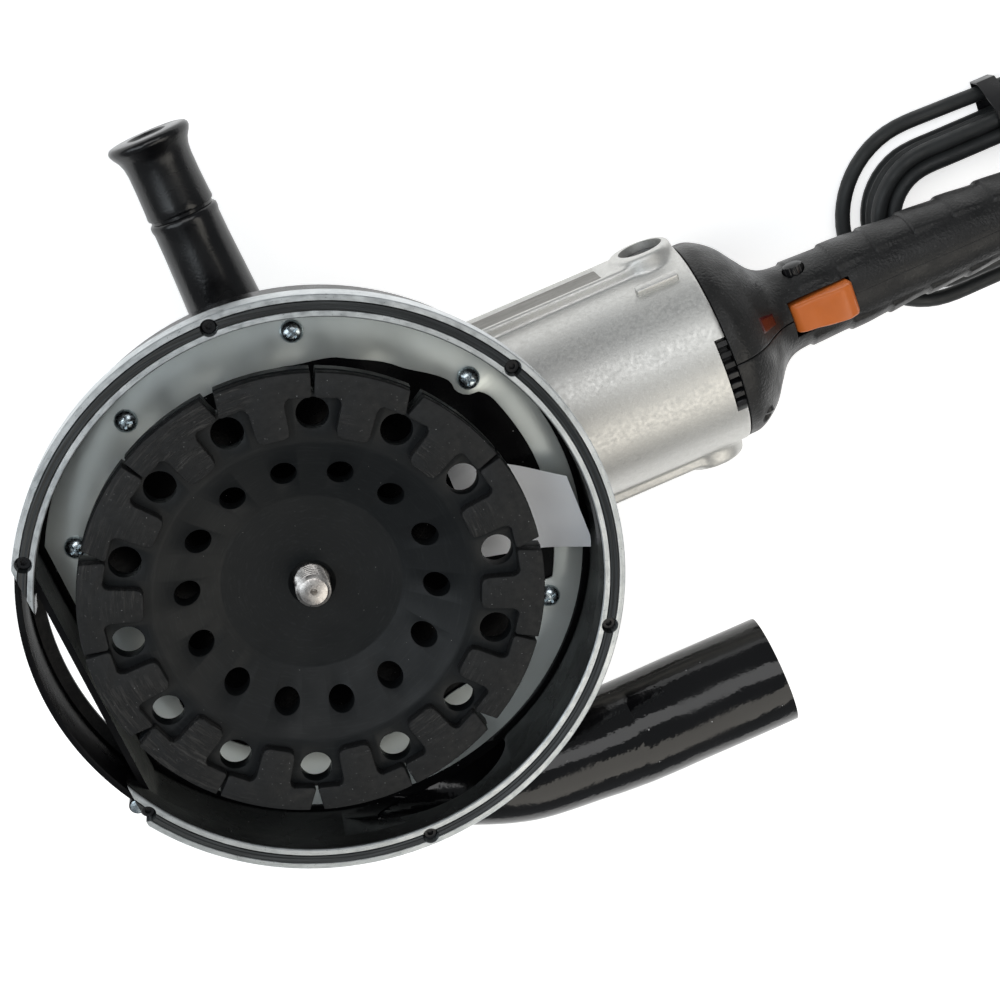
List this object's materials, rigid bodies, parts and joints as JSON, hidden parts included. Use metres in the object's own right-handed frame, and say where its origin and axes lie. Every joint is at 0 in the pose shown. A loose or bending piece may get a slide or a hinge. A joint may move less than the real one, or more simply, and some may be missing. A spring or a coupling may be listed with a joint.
{
  "type": "angle grinder",
  "caption": "Angle grinder for concrete: cup wheel inside a dust hood with an edge door and dust outlet, silver motor housing, black side and rear handles, orange trigger, mains lead.",
  "frame": {"origin": "middle of the flat top of the gear head, which is down, on the spindle axis", "axes": "+Z along the spindle, towards the wheel; +X along the motor axis, towards the rear handle"},
  "size_m": [0.6885, 0.327, 0.1485],
  "materials": {
    "cast_silver": "satin silver paint on cast metal",
    "rim_metal": "worn bare aluminium",
    "liner_metal": "bright sheet steel",
    "steel": "ground steel",
    "screw_zinc": "zinc plated",
    "wheel_black": "matt black coat",
    "hood_black": "gloss black paint",
    "grip_black": "grained black plastic",
    "side_grip_black": "gloss black plastic",
    "trigger_orange": "orange moulded plastic",
    "rubber_black": "black rubber",
    "inner_plastic": "dark plastic",
    "winding": "enamelled copper",
    "laminated_steel": "stacked sheets",
    "carbon": "pressed carbon"
  },
  "bodies": {
    "tool": {"gear_housing": "cast_silver", "bearing_flange": "cast_silver", "spindle_bearing_front": "steel", "spindle_bearing_rear": "steel", "motor_housing": "cast_silver", "stator": "laminated_steel", "field_coil_front": "winding", "field_coil_rear": "winding", "air_guide": "inner_plastic", "rear_bracket": "inner_plastic", "motor_bearing_front": "steel", "motor_bearing_rear": "steel", "brush_holder_left": "winding", "brush_holder_right": "winding", "carbon_brush_left": "carbon", "carbon_brush_right": "carbon", "brush_cap_left": "grip_black", "brush_cap_right": "grip_black", "handle_shell_left": "grip_black", "handle_shell_right": "grip_black", "switch_block": "inner_plastic", "cord_guard": "rubber_black", "cord_lead": "rubber_black", "cord_hank": "rubber_black", "cord_tail": "rubber_black", "mains_plug": "rubber_black", "side_handle_grip": "side_grip_black", "side_handle_stud": "steel", "hood_body": "hood_black", "dust_port": "hood_black", "hood_liner": "liner_metal", "liner_screw_1": "screw_zinc", "liner_screw_2": "screw_zinc", "liner_screw_3": "screw_zinc", "liner_screw_4": "screw_zinc", "liner_screw_5": "screw_zinc", "hood_rim": "rim_metal", "brush_strip": "rubber_black", "hood_clamp": "rim_metal", "clamp_screw": "steel", "door_pin": "steel", "flange_screw_1": "steel", "flange_screw_2": "steel", "flange_screw_3": "steel", "flange_screw_4": "steel"},
    "wheel_spindle": {"spindle": "steel", "wheel_flange": "steel", "crown_gear": "steel", "cup_wheel": "wheel_black", "diamond_ring": "wheel_black"},
    "armature": {"motor_shaft": "steel", "armature_core": "winding", "commutator": "winding", "cooling_fan": "inner_plastic", "drive_pinion": "steel"},
    "door": {"edge_door": "hood_black"},
    "paddle": {"trigger": "trigger_orange"},
    "lock_on": {"lock_on_button": "grip_black"},
    "spindle_stop": {"spindle_lock": "grip_black"}
  },
  "joints": [
    {"name": "spindle_spin", "type": "hinge", "parent": "tool", "child": "wheel_spindle", "pos_m": [0, 0, 0.1], "axis": [0, 0, 1], "continuous": true},
    {"name": "motor_spin", "type": "hinge", "parent": "tool", "child": "armature", "pos_m": [0.11, 0, 0.047], "axis": [1, 0, 0], "continuous": true},
    {"name": "door_swing", "type": "hinge", "parent": "tool", "child": "door", "pos_m": [-0.09972, -0.05426, 0.12], "axis": [0, 0, 1], "range_deg": [0, 100]},
    {"name": "trigger_press", "type": "hinge", "parent": "tool", "child": "paddle", "pos_m": [0.23, 0, 0.063], "axis": [0, 1, 0], "range_deg": [0, 6], "stiffness_Nm_per_rad": 1, "springref_deg": -2.86},
    {"name": "lock_on_press", "type": "slide", "parent": "tool", "child": "lock_on", "axis": [0, -1, 0], "range_m": [0, 0.0025], "stiffness_N_per_m": 150, "springref_m": -0.001},
    {"name": "spindle_lock_press", "type": "slide", "parent": "tool", "child": "spindle_stop", "axis": [0, 1, 0], "range_m": [0, 0.005], "stiffness_N_per_m": 150, "springref_m": -0.001}
  ],
  "couplings": [
    {"joint": "motor_spin", "follows": "spindle_spin", "ratio": -3.3333}
  ]
}
